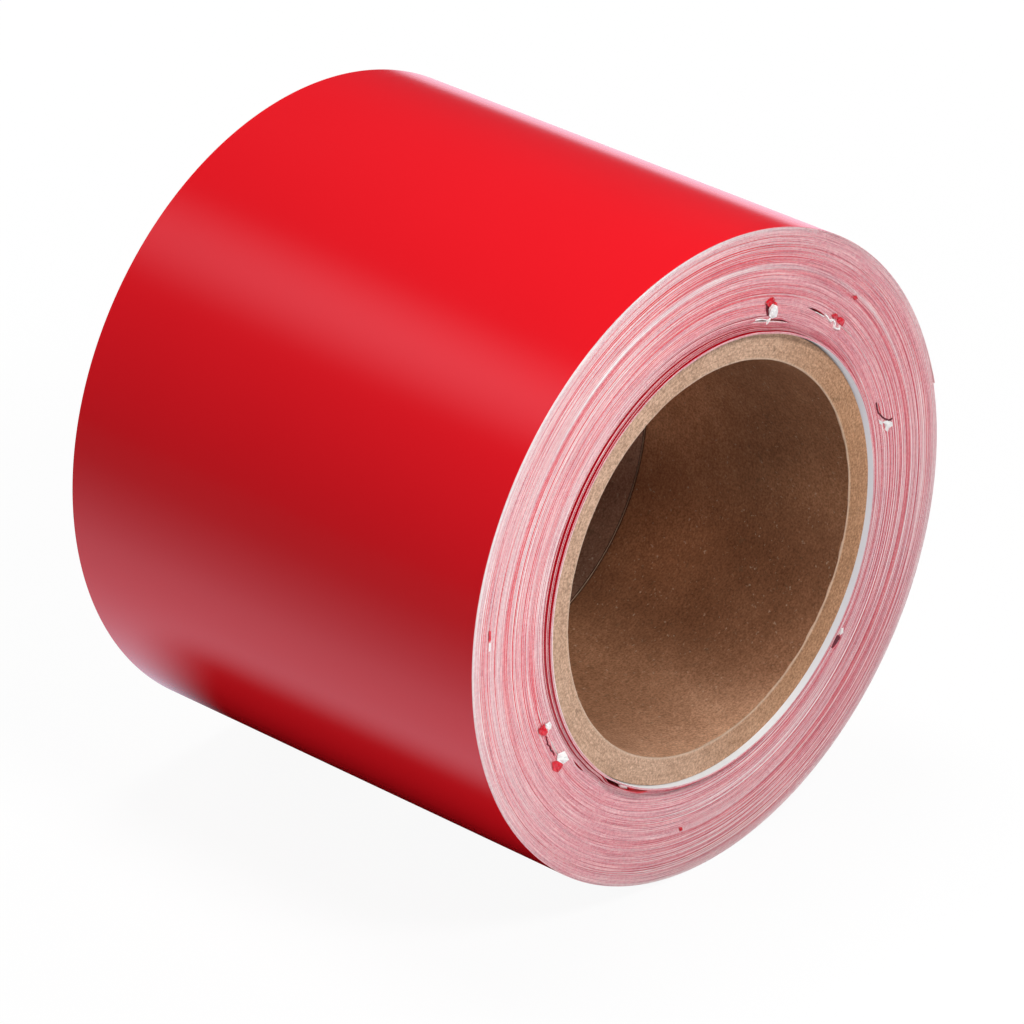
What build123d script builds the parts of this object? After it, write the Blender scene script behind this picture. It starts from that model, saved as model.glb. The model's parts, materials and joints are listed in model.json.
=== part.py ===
from build123d import *
import math
import os

# Roll of sign vinyl, lying on its side: a two-section coreboard core, a wound web of
# liner and film, and the web's free tail cut into short lengths.
# Frame: +Y along the roll's axis (front end at -Y, back end at +Y), +X to the right
# seen from the front, +Z up. The origin is the middle of the bore. Millimetres.
# Angles are in degrees about the Y axis, from +X towards +Z.

# ---- core ---------------------------------------------------------------
web_width = 101.6            # 4 in web
bore_radius = 38.1           # 3 in bore
ply_count = 6                # coreboard plies in the core wall
ply_pitch = 0.889            # 0.035 in coreboard
glue_line = 0.01             # between plies
butt_gap = 0.2               # between the two core sections, at mid width
core_length = (web_width - butt_gap) / 2

# ---- start tape, between core and winding -------------------------------
tape_thickness = 0.11
tape_inner_radius = 43.46
tape_half_width = 38.0
tape_angles = (128, 90)

# ---- winding ------------------------------------------------------------
winding_inner_radius = 43.8
winding_outer_radius = 63.35
turns = 24                   # modelled turns, the tail's one included
wound_turns = turns - 1
pitch = (winding_outer_radius - winding_inner_radius) / turns
layer_gap = 0.01             # radial clearance between film and liner
layer_thickness = pitch / 2 - layer_gap
proud = 1.3                  # how far the first turn stands out of the front end

# inner radius of each layer's first turn; the film lies outside the liner
layer_radii = {
    "liner": winding_inner_radius,
    "film": winding_inner_radius + pitch / 2,
}

# ---- free tail ----------------------------------------------------------
root_angle = 102.5           # where the tail leaves the winding
tip_angle = root_angle - 90  # end of the web
hinge_step = 18              # between the roots of the four tail lengths
peel_step = 9.5              # each of the three lengths of loose film at the tip
cut_gap = 0.05               # between neighbouring lengths of the tail
gap_angle = math.degrees(cut_gap / winding_outer_radius)

hinge_angles = [root_angle - i * hinge_step for i in range(4)]
peel_angles = [tip_angle + i * peel_step for i in (3, 2, 1)]

# ---- slivers of slit edge, curled out of the front end ------------------
sliver_thickness = 0.16
sliver_clearance = 0.02      # between the curl's full circle and the end face

# (angle, inner radius, outer radius, bend radius, bend angle)
slivers = [
    (71.6, 45.6, 50.0, 0.75, 200),
    (47.7, 48.2, 50.4, 0.55, 170),
    (11.7, 47.9, 50.8, 0.50, 180),
    (201.2, 46.1, 49.6, 0.65, 190),
    (212.4, 46.1, 49.6, 0.70, 190),
    (239.4, 44.9, 46.6, 0.40, 170),
    (319.5, 45.8, 47.6, 0.45, 180),
    (262.0, 53.4, 54.8, 0.35, 160),
    (173.0, 58.3, 59.6, 0.35, 160),
]

# ---- shared geometry ----------------------------------------------------
# Plane.XZ faces -Y, so a negative extrusion runs towards the back.
front_end = Plane.XZ.offset(web_width / 2)
back_end = Plane.XZ.offset(-web_width / 2)


def point_at(centre, radius, angle):
    a = math.radians(angle)
    return (centre[0] + radius * math.cos(a), centre[1] + radius * math.sin(a))


# The web is wound clockwise seen from the front, along half circles whose centres
# sit a quarter of the pitch to either side of the axis, so every join is tangent.
# Each centre is named after the side of the roll its half circles lie on.
right_centre = point_at((0, 0), -pitch / 4, root_angle)
left_centre = point_at((0, 0), pitch / 4, root_angle)


def wound_side(radius, count):
    """Adds one face line of a wound strip to the open BuildLine and returns its ends."""
    point = start = point_at(right_centre, radius, root_angle)
    for turn in range(count):
        turn_radius = radius + turn * pitch
        for centre, r, half_start in (
            (right_centre, turn_radius, root_angle),
            (left_centre, turn_radius + pitch / 2, root_angle - 180),
        ):
            end = point_at(centre, r, half_start - 180)
            ThreePointArc(point, point_at(centre, r, half_start - 90), end)
            point = end
    return start, point


def wound_outline(radius, count):
    """Adds the outline of a wound strip of the given inner radius."""
    inner_start, inner_end = wound_side(radius, count)
    outer_start, outer_end = wound_side(radius + layer_thickness, count)
    Line(inner_start, outer_start)
    Line(inner_end, outer_end)


def arc_outline(centre, inner_radius, thickness, angle_from, angle_to):
    """Adds the outline of a curved strip between two angles."""
    middle = (angle_from + angle_to) / 2
    ends = []
    for radius in (inner_radius, inner_radius + thickness):
        start = point_at(centre, radius, angle_from)
        end = point_at(centre, radius, angle_to)
        ThreePointArc(start, point_at(centre, radius, middle), end)
        ends.append((start, end))
    (inner_start, inner_end), (outer_start, outer_end) = ends
    Line(inner_start, outer_start)
    Line(inner_end, outer_end)


def export(part, name):
    part.label = name
    export_step(part, f"parts/{name}.step")


# ---- pieces -------------------------------------------------------------
def build_core_ply(section, section_front, number):
    """One ply of a core section, numbered from the bore outwards."""
    inner_radius = bore_radius + (number - 1) * ply_pitch
    with BuildPart() as ply:
        with BuildSketch(section_front):
            Circle(inner_radius + ply_pitch - glue_line)
            Circle(inner_radius, mode=Mode.SUBTRACT)
        extrude(amount=-core_length)
    export(ply.part, f"core_{section}_ply_{number}")


def build_arc_strip(name, plane, centre, inner_radius, thickness, angles, width):
    """A curved strip running back from the plane."""
    with BuildPart() as strip:
        with BuildSketch(plane):
            with BuildLine():
                arc_outline(centre, inner_radius, thickness, *angles)
            make_face()
        extrude(amount=-width)
    export(strip.part, name)


def build_winding(name, radius):
    """One wound layer, its first turn shifted forwards: proud in front, sunk behind."""
    with BuildPart() as winding:
        with BuildSketch(front_end):
            with BuildLine():
                wound_outline(radius, wound_turns)
            make_face()
        extrude(amount=-web_width)
        for end_plane, mode in ((front_end, Mode.ADD), (back_end, Mode.SUBTRACT)):
            with BuildSketch(end_plane):
                with BuildLine():
                    wound_outline(radius, 1)
                make_face()
            extrude(amount=proud, mode=mode)
    export(winding.part, name)


def build_tail(radius, names, angles):
    """Lengths of one layer along the tail, each from one angle to the next."""
    for name, angle_from, angle_to in zip(names, angles, angles[1:]):
        build_arc_strip(
            name,
            front_end,
            right_centre,
            radius + wound_turns * pitch,
            layer_thickness,
            (angle_from - gap_angle, angle_to),
            web_width,
        )


def build_slivers():
    """Thin tabs bent into arcs, each running outwards along a radius."""
    with BuildPart() as edge_slivers:
        for angle, inner_radius, outer_radius, bend_radius, bend_angle in slivers:
            x, z = point_at((0, 0), 1, angle)
            stand = bend_radius + sliver_thickness + sliver_clearance
            sliver_plane = Plane(
                origin=(inner_radius * x, -web_width / 2 - stand, inner_radius * z),
                x_dir=(-z, 0, x),
                z_dir=(x, 0, z),
            )
            with BuildSketch(sliver_plane):
                with BuildLine():
                    arc_outline(
                        (0, 0), bend_radius, sliver_thickness, -bend_angle / 2, bend_angle / 2
                    )
                make_face()
            extrude(amount=outer_radius - inner_radius)
    export(edge_slivers.part, "edge_slivers")


os.makedirs("parts", exist_ok=True)

for section, section_front in (("front", front_end), ("back", Plane.XZ.offset(-butt_gap / 2))):
    for number in range(1, ply_count + 1):
        build_core_ply(section, section_front, number)

build_arc_strip(
    "core_start_tape",
    Plane.XZ.offset(tape_half_width),
    (0, 0),
    tape_inner_radius,
    tape_thickness,
    tape_angles,
    2 * tape_half_width,
)

for layer, radius in layer_radii.items():
    build_winding(f"{layer}_winding", radius)

build_tail(
    layer_radii["liner"],
    [f"liner_tail_{i}" for i in range(1, 5)],
    [*hinge_angles, tip_angle],
)
build_tail(
    layer_radii["film"],
    [*(f"film_tail_{i}" for i in range(1, 5)), "film_peel_1", "film_peel_2", "film_tip"],
    [*hinge_angles, *peel_angles, tip_angle],
)

build_slivers()
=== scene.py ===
# A roll of red self-adhesive vinyl on a white release liner, wound on a two-part coreboard core.
# The roll's axis is Y, its front edge faces -Y and it stands on the floor below its -Z side.
# Angles are degrees in the XZ plane, from +X towards +Z. Shapes are worked out in mm.
import json
import math

import bpy
import numpy as np
from mathutils import Matrix, Vector


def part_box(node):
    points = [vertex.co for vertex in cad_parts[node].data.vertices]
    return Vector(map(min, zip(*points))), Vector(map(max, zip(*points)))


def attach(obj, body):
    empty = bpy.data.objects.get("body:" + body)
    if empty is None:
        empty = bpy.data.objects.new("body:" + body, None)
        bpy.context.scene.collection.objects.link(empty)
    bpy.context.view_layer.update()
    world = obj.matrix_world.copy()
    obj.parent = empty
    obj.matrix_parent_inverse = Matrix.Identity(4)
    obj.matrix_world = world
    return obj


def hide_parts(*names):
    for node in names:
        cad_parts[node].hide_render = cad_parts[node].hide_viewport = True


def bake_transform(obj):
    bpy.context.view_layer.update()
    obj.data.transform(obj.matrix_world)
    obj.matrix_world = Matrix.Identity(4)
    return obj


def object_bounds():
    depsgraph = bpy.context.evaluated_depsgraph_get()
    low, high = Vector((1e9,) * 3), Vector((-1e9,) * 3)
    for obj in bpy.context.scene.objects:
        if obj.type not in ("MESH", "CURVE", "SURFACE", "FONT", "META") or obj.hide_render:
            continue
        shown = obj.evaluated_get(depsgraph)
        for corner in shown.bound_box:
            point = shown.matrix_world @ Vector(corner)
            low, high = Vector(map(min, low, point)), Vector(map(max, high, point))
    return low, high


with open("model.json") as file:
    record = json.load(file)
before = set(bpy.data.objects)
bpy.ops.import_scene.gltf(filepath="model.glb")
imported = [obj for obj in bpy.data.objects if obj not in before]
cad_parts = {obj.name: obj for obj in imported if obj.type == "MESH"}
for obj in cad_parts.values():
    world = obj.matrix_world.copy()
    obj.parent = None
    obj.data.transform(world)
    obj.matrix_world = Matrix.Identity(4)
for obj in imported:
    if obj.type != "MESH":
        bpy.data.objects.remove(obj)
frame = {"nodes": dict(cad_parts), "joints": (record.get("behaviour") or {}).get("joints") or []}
cad_lo, cad_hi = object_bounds()

# ------------------------------------------------------------------ sizes, in mm and degrees
MM = 0.001                      # one mm in metres
TO_MM = 1000.0
JOINTS = {joint["name"]: joint for joint in frame["joints"]}


def node_polar(name):
    """Radius and angle of every vertex of a CAD piece."""
    mesh = frame["nodes"][name].data
    co = np.empty(len(mesh.vertices) * 3, np.float64)
    mesh.vertices.foreach_get("co", co)
    co = co.reshape(-1, 3) * TO_MM
    return np.hypot(co[:, 0], co[:, 2]), np.degrees(np.arctan2(co[:, 2], co[:, 0]))


def joint_polar(name):
    """Radius and angle of a joint."""
    x, _, z = JOINTS[name]["pos_m"]
    return math.hypot(x, z) * TO_MM, math.degrees(math.atan2(z, x))


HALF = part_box("liner_tail_1")[1].y * TO_MM                      # half the web's width
TAIL_R, TAIL_START = joint_polar("tail_lift")                   # film's outer face at the free tail
HINGES = [joint_polar(n)[1] for n in ("tail_lift", "tail_bend_2", "tail_bend_3", "tail_bend_4")]
PEELS = [joint_polar(n)[1] for n in ("film_peel", "film_curl_2", "film_curl_3")]
TIP = float(node_polar("film_tip")[1].min())                    # end of the web
PLY_RADII = [node_polar(f"core_front_ply_{i}")[0] for i in range(1, 7)]
PLY_IN = [float(radii.min()) for radii in PLY_RADII]
PLY_OUT = [float(radii.max()) for radii in PLY_RADII]
BORE_R, CORE_R = PLY_IN[0], PLY_OUT[-1]
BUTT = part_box("core_back_ply_1")[0].y * TO_MM                   # half the gap between core sections
PROUD = -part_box("liner_winding")[0].y * TO_MM - HALF            # how far the first wraps stand out

TURNS = 137
WEB_IN = CORE_R + 0.19
PITCH = (TAIL_R - WEB_IN) / TURNS
FILM_THICK, LINER_THICK = 0.535 * PITCH, 0.425 * PITCH
GAP = (PITCH - FILM_THICK - LINER_THICK) / 2
# The path angle runs along the web: it falls from CORE_END, turn by turn, to TIP.
CORE_END = TAIL_START + (TURNS - 1) * 360.0
SPLIT = TAIL_START + 152.0                                      # the outermost wrap starts here
SHARE_R = 63.14                                                 # bands of wraps are shares of this

# where wraps have parted at the front edge:
# (angle from, angle to, radius, width, share of the width taken by the outer wraps)
CRACKS = [
    (63.0, 78.0, 45.40, 0.50, 0.75),
    (51.0, 59.5, 48.98, 0.40, 0.60),
    (39.5, 45.0, 49.20, 0.26, 0.60),
    (13.5, 19.5, 48.10, 0.34, 0.60),
    (193.5, 200.5, 47.75, 0.30, 0.60),
    (204.5, 212.0, 47.18, 0.42, 0.60),
    (215.5, 222.0, 45.40, 0.38, 0.60),
    (226.5, 246.5, 44.04, 0.62, 1.00),
    (316.6, 321.6, 46.72, 0.78, 0.70),
]

# where the wraps get a finer mesh: (angle, radius)
SNAGS = [
    (71.6, 45.6), (49.0, 49.0), (15.0, 49.0), (201.2, 47.6),
    (212.4, 46.6), (236.0, 44.6), (319.0, 46.7), (35.0, 44.0),
]


# ------------------------------------------------------------------ smooth curves and noise
def fade(t):
    return t * t * (3 - 2 * t)


def step(x, low, high):
    return fade(np.clip((np.asarray(x, float) - low) / (high - low), 0, 1))


def band(x, rise, fall):
    """Rises from 0 to 1 over one span of x and falls back over another."""
    return step(x, *rise) * (1 - step(x, *fall))


def bell(offset, width):
    return np.exp(-(offset / width) ** 2)


def away(angle, centre):
    """Signed angle from centre, -180 to 180."""
    return (np.asarray(angle, float) - centre + 180.0) % 360.0 - 180.0


def window(angle, start, end, soft):
    """1 between angles start and end, falling smoothly to 0 over soft degrees outside."""
    offset = np.abs(away(angle, (start + end) / 2))
    return fade(np.clip(1 - (offset - (end - start) / 2) / soft, 0, 1))


def noise_line(x, spacing, seed, size=8192):
    """Smooth 1-D noise, -1 to 1, repeating after size cells."""
    values = np.random.default_rng(seed).uniform(-1, 1, size)
    cell = np.asarray(x, float) / spacing
    i = np.floor(cell).astype(int)
    t = fade(cell - i)
    return values[i % size] * (1 - t) + values[(i + 1) % size] * t


def noise_polar(radius, angle, ring, cells, seed):
    """Smooth 2-D noise: cells of height ring in radius, and a number of cells round the circle."""
    values = np.random.default_rng(seed).uniform(-1, 1, (512, cells))
    u = np.asarray(radius, float) / ring
    v = (np.asarray(angle, float) % 360.0) / 360.0 * cells
    i, j = np.floor(u).astype(int), np.floor(v).astype(int)
    s, t = fade(u - i), fade(v - j)
    i0, i1, j0, j1 = i % 512, (i + 1) % 512, j % cells, (j + 1) % cells
    inner = values[i0, j0] * (1 - s) + values[i1, j0] * s
    return inner * (1 - t) + (values[i0, j1] * (1 - s) + values[i1, j1] * s) * t


# ------------------------------------------------------------------ the web's path and slit edges
def film_radius(path):
    """Outer face of the film; the end of the web springs off the wrap under it."""
    path = np.asarray(path, float)
    spring = 0.26 * np.clip((24.0 - path) / (24.0 - TIP), 0, 1.2) ** 2
    return TAIL_R - PITCH * (path - TAIL_START) / 360.0 + spring


def edge_shift(radius, angle):
    """Radial shift of the front edge round the cracks and where wraps are pinched."""
    shift = np.zeros_like(radius)
    for start, end, crack_r, width, share in CRACKS:
        soft = min(4.0, (end - start) * 0.4)
        along = window(angle, start + soft, end - soft, soft)
        near = np.exp(-np.abs(radius - crack_r) / 1.1)
        shift += np.where(radius > crack_r, share, share - 1.0) * width * along * near
    # a pinch that pulls the innermost wraps in towards the core
    depth = radius - WEB_IN
    shift -= 0.10 * bell(away(angle, 71.8), 3.0) * np.clip(1 - depth / 2.2, 0, 1)
    # and a length where they stand off it
    shift += 0.34 * window(angle, 24.0, 46.0, 14.0) * np.clip(1 - depth / 2.6, 0, 1)
    # the first wraps have parted from the rest after the third and the sixth
    for wraps, gap in ((3.0, 0.075), (6.0, 0.035)):
        edge = WEB_IN + wraps * PITCH
        shift -= gap * (1 - step(radius, edge - 0.03, edge + 0.03))
    # a dent that pushes some wraps inwards
    shift -= 0.55 * bell(away(angle, 11.7), 1.5) * bell(radius - 49.1, 0.8)
    return shift


def turns_wound(path):
    return (CORE_END - path) / 360.0


def calm_rim(path):
    """1 inside, falling to 0 in the last turns, whose edges lie even."""
    return 1 - step(turns_wound(path), TURNS - 12.0, TURNS - 2.0)


def wrap_lines(path, seed):
    """Single wraps that sit deeper or stand out over part of their length."""
    wave = noise_polar(turns_wound(path), path % 360.0, ring=0.62, cells=4, seed=seed)
    deep = np.clip((wave - 0.42) / 0.5, 0, 1)
    out = np.clip((-wave - 0.50) / 0.5, 0, 1)
    return 0.070 * out - 0.19 * deep


def first_wraps(path):
    """The first wraps were started by hand: three stand well out, three a little."""
    turn = turns_wound(path)
    return PROUD * (1 - step(turn, 2.75, 3.25)) + 0.60 * band(turn, (2.75, 3.25), (5.8, 6.3))


def front_out(path, radius):
    """How far the front edge stands out towards -Y."""
    angle = path % 360.0
    share = radius / SHARE_R
    rim = calm_rim(path)
    out = first_wraps(path)
    out = out + 0.026 * noise_polar(radius, angle, ring=1.10, cells=7, seed=11) * rim
    out = out + 0.026 * noise_polar(radius, angle, ring=0.42, cells=9, seed=12) * rim
    out = out + 0.048 * noise_line(path, spacing=83.0, seed=13) * (0.25 + 0.75 * rim)
    out = out + wrap_lines(path, seed=14) * rim
    # a shallow groove, deepest on the +X side, and a ridge outside it
    groove = 0.035 + 0.12 * window(angle, -70.0, 48.0, 40.0)
    out = out - groove * band(share, (0.8620, 0.8640), (0.8745, 0.8765))
    ridge = 0.03 + 0.05 * window(angle, -20.0, 170.0, 30.0)
    return out + ridge * band(share, (0.8760, 0.8785), (0.8850, 0.8885))


def back_out(path, radius):
    """How far the web's back edge is drawn in from +Y."""
    angle = path % 360.0
    rim = calm_rim(path)
    out = first_wraps(path)
    out = (out + 0.070 * noise_polar(radius, angle, ring=1.30, cells=6, seed=21) * rim
           + 0.040 * noise_polar(radius, angle, ring=0.45, cells=9, seed=22) * rim)
    out = out + 0.034 * noise_line(path, spacing=91.0, seed=23) * (0.25 + 0.75 * rim)
    return out - wrap_lines(path, seed=24) * rim


def film_recess(radius, angle):
    """The film has shrunk back from its liner's edge, most in the outermost wraps."""
    share = radius / SHARE_R
    recess = (0.008 + 0.027 * noise_polar(radius, angle, ring=0.19, cells=9, seed=31)
              + 0.016 * noise_polar(radius, angle, ring=1.6, cells=5, seed=32))
    recess = (recess + 0.010 * window(angle, 110.0, 215.0, 40.0)
              - 0.016 * window(angle, 290.0, 440.0, 40.0))
    recess = recess * (1 - step(share, 0.965, 0.985))
    # a band where the film's edge shows more, and the pale wraps outside it
    recess = recess - 0.030 * band(share, (0.8600, 0.8625), (0.8700, 0.8740))
    pale = 0.070 * window(angle, 45.0, 112.0, 35.0)
    recess = recess + pale * band(share, (0.8750, 0.8775), (0.8850, 0.8880))
    # two narrow red arcs
    recess = recess - 0.030 * window(angle, 110.0, 215.0, 25.0) * bell(share - 0.790, 0.006)
    recess = recess - 0.030 * window(angle, 190.0, 225.0, 20.0) * bell(share - 0.760, 0.006)
    side = 0.35 + 0.65 * window(angle, 60.0, 235.0, 50.0)
    return recess + side * (0.030 * step(share, 0.945, 0.985) + 0.050 * step(share, 0.984, 0.996))


# ------------------------------------------------------------------ mesh helpers
def new_object(name, co, faces, mats, slots=None, flat=False):
    """co in mm; faces is a list of (n, 4) or (n, 3) arrays; slots and flat are per face."""
    mesh = bpy.data.meshes.new(name)
    loops = np.concatenate([part.ravel() for part in faces]).astype(np.int32)
    sizes = np.concatenate([np.full(len(part), part.shape[1], np.int32) for part in faces])
    starts = np.concatenate([[0], np.cumsum(sizes)[:-1]]).astype(np.int32)
    mesh.vertices.add(len(co))
    mesh.vertices.foreach_set("co", (np.asarray(co, np.float64) * MM).astype(np.float32).ravel())
    mesh.loops.add(len(loops))
    mesh.loops.foreach_set("vertex_index", loops)
    mesh.polygons.add(len(sizes))
    mesh.polygons.foreach_set("loop_start", starts)
    if slots is not None:
        mesh.polygons.foreach_set("material_index", np.asarray(slots, np.int32))
    mesh.update(calc_edges=True)
    smooth = np.empty(len(sizes), bool)
    smooth[:] = np.logical_not(flat)
    mesh.polygons.foreach_set("use_smooth", smooth)
    mesh.update()
    ob = bpy.data.objects.new(name, mesh)
    bpy.context.scene.collection.objects.link(ob)
    for mat in mats:
        mesh.materials.append(mat)
    return ob


def on_roll(ob, slot, *nodes):
    """The piece turns with the roll, in place of the CAD nodes given. The slot is not used."""
    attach(ob, "roll")
    if nodes:
        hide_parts(*nodes)


# ------------------------------------------------------------------ shader helpers
BLACK, WHITE = (0, 0, 0), (1, 1, 1)


class Nodes:
    """Adds nodes to a shader tree. An input is given as a value or as the socket to link."""

    def __init__(self, tree):
        self.tree = tree

    def fill(self, node, inputs):
        for key, value in dict(inputs).items():
            socket = node.inputs[key]
            if isinstance(value, bpy.types.NodeSocket):
                self.tree.links.new(value, socket)
            elif isinstance(value, tuple):
                # a colour socket takes an alpha of 1 as well
                socket.default_value = (*value, 1)[:len(socket.default_value)]
            else:
                socket.default_value = value

    def add(self, kind, inputs=(), **settings):
        node = self.tree.nodes.new("ShaderNode" + kind)
        for key, value in settings.items():
            setattr(node, key, value)
        self.fill(node, inputs)
        return node

    def coords(self):
        return self.add("TexCoord").outputs["Object"]

    def scaled(self, vector, scale):
        return self.add("Mapping", {"Scale": scale, "Vector": vector}).outputs[0]

    def noise(self, vector, scale, detail=4.0, rough=0.55, distort=0.0):
        return self.add("TexNoise", {
            "Scale": scale, "Detail": detail, "Roughness": rough, "Distortion": distort,
            "Vector": vector}).outputs["Fac"]

    def ramp(self, value, stops):
        """stops: (position, colour)."""
        node = self.add("ValToRGB")
        elements = node.color_ramp.elements
        while len(elements) > 1:
            elements.remove(elements[-1])
        for i, (position, colour) in enumerate(stops):
            element = elements[0] if i == 0 else elements.new(position)
            element.position = position
            element.color = (*colour, 1)
        self.fill(node, {0: value})
        return node.outputs[0]

    def mask(self, value, low, high):
        """Black at low to white at high."""
        return self.ramp(value, [(low, BLACK), (high, WHITE)])

    def math(self, operation, *values):
        return self.add("Math", dict(enumerate(values)), operation=operation).outputs[0]

    def multiply(self, a, b):
        return self.math("MULTIPLY", a, b)

    def subtract(self, a, b):
        return self.math("SUBTRACT", a, b)

    def multiply_add(self, value, factor, addend):
        return self.math("MULTIPLY_ADD", value, factor, addend)

    def hypot(self, a, b):
        total = self.math("ADD", self.multiply(a, a), self.multiply(b, b))
        return self.math("SQRT", total)

    def cosine(self, angle, shift):
        """Cosine of angle + shift, in radians: 1 where the angle is -shift."""
        return self.math("COSINE", self.math("ADD", angle, shift))

    def remap(self, value, span, to=(0.0, 1.0)):
        """Smooth step from one pair of values to another."""
        return self.add("MapRange", {
            "Value": value, "From Min": span[0], "From Max": span[1],
            "To Min": to[0], "To Max": to[1]}, interpolation_type="SMOOTHSTEP").outputs["Result"]

    def mix(self, factor, a, b, blend="MIX"):
        return self.add("Mix", {0: factor, 6: a, 7: b},
                        data_type="RGBA", blend_type=blend).outputs[2]

    def tint(self, factor, colour, multiplier):
        """Multiplies the colour where factor is 1."""
        return self.mix(factor, colour, self.mix(1.0, colour, multiplier, "MULTIPLY"))

    def bump(self, height, strength, distance, normal=None):
        inputs = {"Strength": strength, "Distance": distance, "Height": height}
        if normal is not None:
            inputs["Normal"] = normal
        return self.add("Bump", inputs).outputs[0]

    def polar(self, vector):
        """Radius (m), angle (radians) and y (m) of object coordinates."""
        x, y, z = self.add("SeparateXYZ", {0: vector}).outputs
        return self.hypot(x, z), self.math("ARCTAN2", z, x), y

    def combine(self, x, y, z):
        return self.add("CombineXYZ", {0: x, 1: y, 2: z}).outputs[0]

    def mix_shader(self, factor, a, b):
        return self.add("MixShader", {0: factor, 1: a, 2: b}).outputs[0]


def empty_nodes(owner):
    """An empty shader tree on a material or world."""
    owner.use_nodes = True
    owner.node_tree.nodes.clear()
    return Nodes(owner.node_tree)


def new_material(name):
    mat = bpy.data.materials.new(name)
    nodes = empty_nodes(mat)
    output = nodes.add("OutputMaterial")
    surface = nodes.add("BsdfPrincipled")
    nodes.fill(output, {0: surface.outputs[0]})
    return mat, nodes, surface


# ------------------------------------------------------------------ materials
def dust_specks(nodes, place):
    """Sparse specks, a few tenths of a millimetre across."""
    cells = nodes.add("TexVoronoi", {"Scale": 78.0, "Vector": place}, feature="F1")
    pick = nodes.add("SeparateColor", {0: cells.outputs["Color"]})
    chosen = nodes.math("GREATER_THAN", pick.outputs[0], 0.955)
    size = nodes.multiply(pick.outputs[1], 0.020)
    speck = nodes.math("LESS_THAN", cells.outputs["Distance"], size)
    return nodes.multiply(speck, chosen)


def vinyl_material():
    """Gloss PVC face film: saturated red, faint orange peel, hairline scuffs and specks of dust."""
    mat, nodes, surface = new_material("vinyl_red_gloss")
    place = nodes.coords()
    radius, angle, y = nodes.polar(place)
    broad = nodes.noise(place, scale=9.0, detail=3.0)
    fine = nodes.noise(place, scale=2600.0, detail=2.0)
    red = nodes.ramp(broad, [(0.30, (0.775, 0.0084, 0.0150)), (0.70, (0.815, 0.0096, 0.0172))])
    speck = dust_specks(nodes, place)
    # painted shade: a deeper red in the inner wraps, standing in for the shade on the wraps that
    # stand out near the core
    inner = nodes.math("LESS_THAN", radius, 0.0466)
    red = nodes.mix(inner, red, (0.36, 0.005, 0.012))
    colour = nodes.mix(nodes.multiply(speck, 0.75), red, (0.93, 0.86, 0.86))
    # scuffs run round the roll
    around = nodes.combine(nodes.multiply(angle, 6.0), nodes.multiply(y, 2400.0), 0.0)
    scuffs = nodes.noise(around, scale=1.0, detail=3.0, rough=0.7)
    rough = nodes.multiply_add(nodes.mask(scuffs, low=0.52, high=0.75), factor=0.04, addend=0.150)
    rough = nodes.multiply_add(broad, factor=0.03, addend=rough)
    rough = nodes.math("MAXIMUM", rough, nodes.multiply(speck, 0.8))
    grain = nodes.bump(fine, strength=0.05, distance=0.00002)
    soft = nodes.noise(place, scale=120.0, detail=2.0)
    nodes.fill(surface, {
        "Base Color": colour, "Roughness": rough, "IOR": 1.48,
        "Normal": nodes.bump(soft, strength=0.10, distance=0.00010, normal=grain)})
    return mat


def film_back_material():
    """Adhesive side of the film: the same red, dulled a little by the clear adhesive coat."""
    mat, nodes, surface = new_material("vinyl_adhesive_side")
    grain = nodes.noise(nodes.coords(), scale=900.0)
    nodes.fill(surface, {
        "Base Color": nodes.ramp(grain, [(0.3, (0.56, 0.030, 0.036)), (0.7, (0.66, 0.045, 0.050))]),
        "Roughness": nodes.multiply_add(grain, factor=0.25, addend=0.30),
        "Normal": nodes.bump(grain, strength=0.25, distance=0.00003)})
    return mat


def edge_material(name, stops, rough, grain_scale):
    """Slit edges: colour that changes along and across the wraps."""
    mat, nodes, surface = new_material(name)
    place = nodes.coords()
    radius, angle, _ = nodes.polar(place)
    wraps = nodes.combine(nodes.multiply(radius, 6800.0), nodes.multiply(angle, 3.6), 0.0)
    along = nodes.noise(wraps, scale=1.0, detail=2.0, rough=0.6)
    grain = nodes.noise(place, scale=grain_scale, detail=3.0, rough=0.6)
    blend = nodes.multiply_add(grain, factor=0.35, addend=nodes.multiply(along, 0.65))
    # painted shade: duller and darker low on the +X side, where less light falls
    plus_x_shade = nodes.remap(nodes.cosine(angle, math.radians(30.0)), span=(0.75, 1.0))
    colour = nodes.ramp(blend, stops)
    nodes.fill(surface, {
        "Base Color": nodes.tint(plus_x_shade, colour, multiplier=(0.84, 0.80, 0.83)),
        "Roughness": rough,
        "Normal": nodes.bump(grain, strength=0.4, distance=0.00003)})
    return mat


def liner_material():
    """Release liner: white clay-coated paper, silicone sheen."""
    mat, nodes, surface = new_material("release_liner_white")
    place = nodes.coords()
    stretched = nodes.scaled(place, (1.0, 2.2, 1.0))
    fibre = nodes.noise(stretched, scale=700.0, detail=5.0, rough=0.65)
    cloud = nodes.noise(place, scale=60.0, detail=3.0)
    colour = nodes.mix(
        0.35,
        nodes.ramp(fibre, [(0.3, (0.80, 0.785, 0.775)), (0.7, (0.88, 0.87, 0.865))]),
        nodes.ramp(cloud, [(0.35, (0.80, 0.79, 0.79)), (0.65, (0.88, 0.875, 0.87))]))
    # painted shade: the first wrap is greyed on the +X side, where it stands off the core and the gap
    # is in shade
    radius, angle, _ = nodes.polar(place)
    first = nodes.math("LESS_THAN", radius, (CORE_R + 0.72) * MM)
    side = nodes.math("COSINE", nodes.subtract(angle, math.radians(5.0)))
    gap_shade = nodes.remap(side, span=(0.25, 0.95), to=(0.0, 0.75))
    nodes.fill(surface, {
        "Base Color": nodes.mix(nodes.multiply(first, gap_shade), colour, (0.50, 0.49, 0.53)),
        "Roughness": nodes.multiply_add(cloud, factor=0.15, addend=0.36),
        "Normal": nodes.bump(fibre, strength=0.12, distance=0.00004)})
    return mat


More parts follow.
